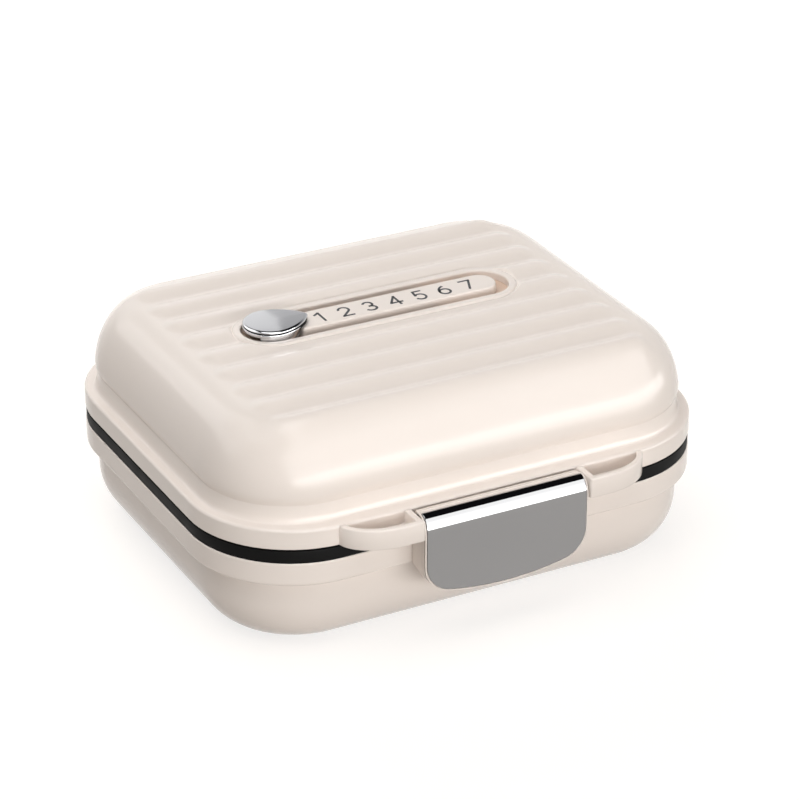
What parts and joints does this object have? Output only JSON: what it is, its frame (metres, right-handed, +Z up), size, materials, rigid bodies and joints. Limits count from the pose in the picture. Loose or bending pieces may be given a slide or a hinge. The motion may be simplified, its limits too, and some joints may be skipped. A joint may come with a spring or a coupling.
{
  "type": "weekly pill organizer",
  "caption": "Rounded two-part pill case with a ribbed hinged lid, a front latch with a bright plate, a day slider on top and open cells in a tray.",
  "frame": {"origin": "middle of the flat underside of the base, on the surface that the case stands on", "axes": "+X along the latch edge, to the right as seen from the latch; +Y from the latch towards the hinge; +Z up through the lid"},
  "size_m": [0.112, 0.1062, 0.0498],
  "materials": {
    "cream_shell": "glossy moulded cream plastic",
    "cream_inner": "fine satin moulded cream plastic",
    "black_silicone": "smooth black silicone",
    "pad_silicone": "soft matt white silicone",
    "bright_chrome": "mirror-bright chromed skin",
    "pin_steel": "bright drawn steel"
  },
  "bodies": {
    "base": {"base_shell": "cream_shell", "seal_ring": "black_silicone", "hinge_pin": "pin_steel", "compartment_tray": "cream_inner", "long_divider": "cream_inner", "front_divider_1": "cream_inner", "front_divider_2": "cream_inner", "front_divider_3": "cream_inner", "back_divider_1": "cream_inner", "back_divider_2": "cream_inner"},
    "lid": {"lid_shell": "cream_shell", "lid_liner": "cream_inner", "liner_pad": "pad_silicone", "liner_screw_1": "pin_steel", "liner_screw_2": "pin_steel", "liner_screw_3": "pin_steel", "liner_screw_4": "pin_steel", "number_strip": "cream_shell", "detent_rack": "cream_inner", "latch_pin": "pin_steel"},
    "slider": {"slider_knob": "bright_chrome", "slider_clip": "cream_inner", "detent_spring": "pin_steel"},
    "latch": {"latch_lever": "cream_shell", "latch_plate": "bright_chrome"}
  },
  "joints": [
    {"name": "lid_hinge", "type": "hinge", "parent": "base", "child": "lid", "pos_m": [0, 0.0502, 0.0232], "axis": [-1, 0, 0], "range_deg": [0, 105]},
    {"name": "latch_hinge", "type": "hinge", "parent": "lid", "child": "latch", "pos_m": [0, -0.0507, 0.0268], "axis": [-1, 0, 0], "range_deg": [0, 100]},
    {"name": "day_slider", "type": "slide", "parent": "lid", "child": "slider", "axis": [1, 0, 0], "range_m": [0, 0.0348]}
  ]
}
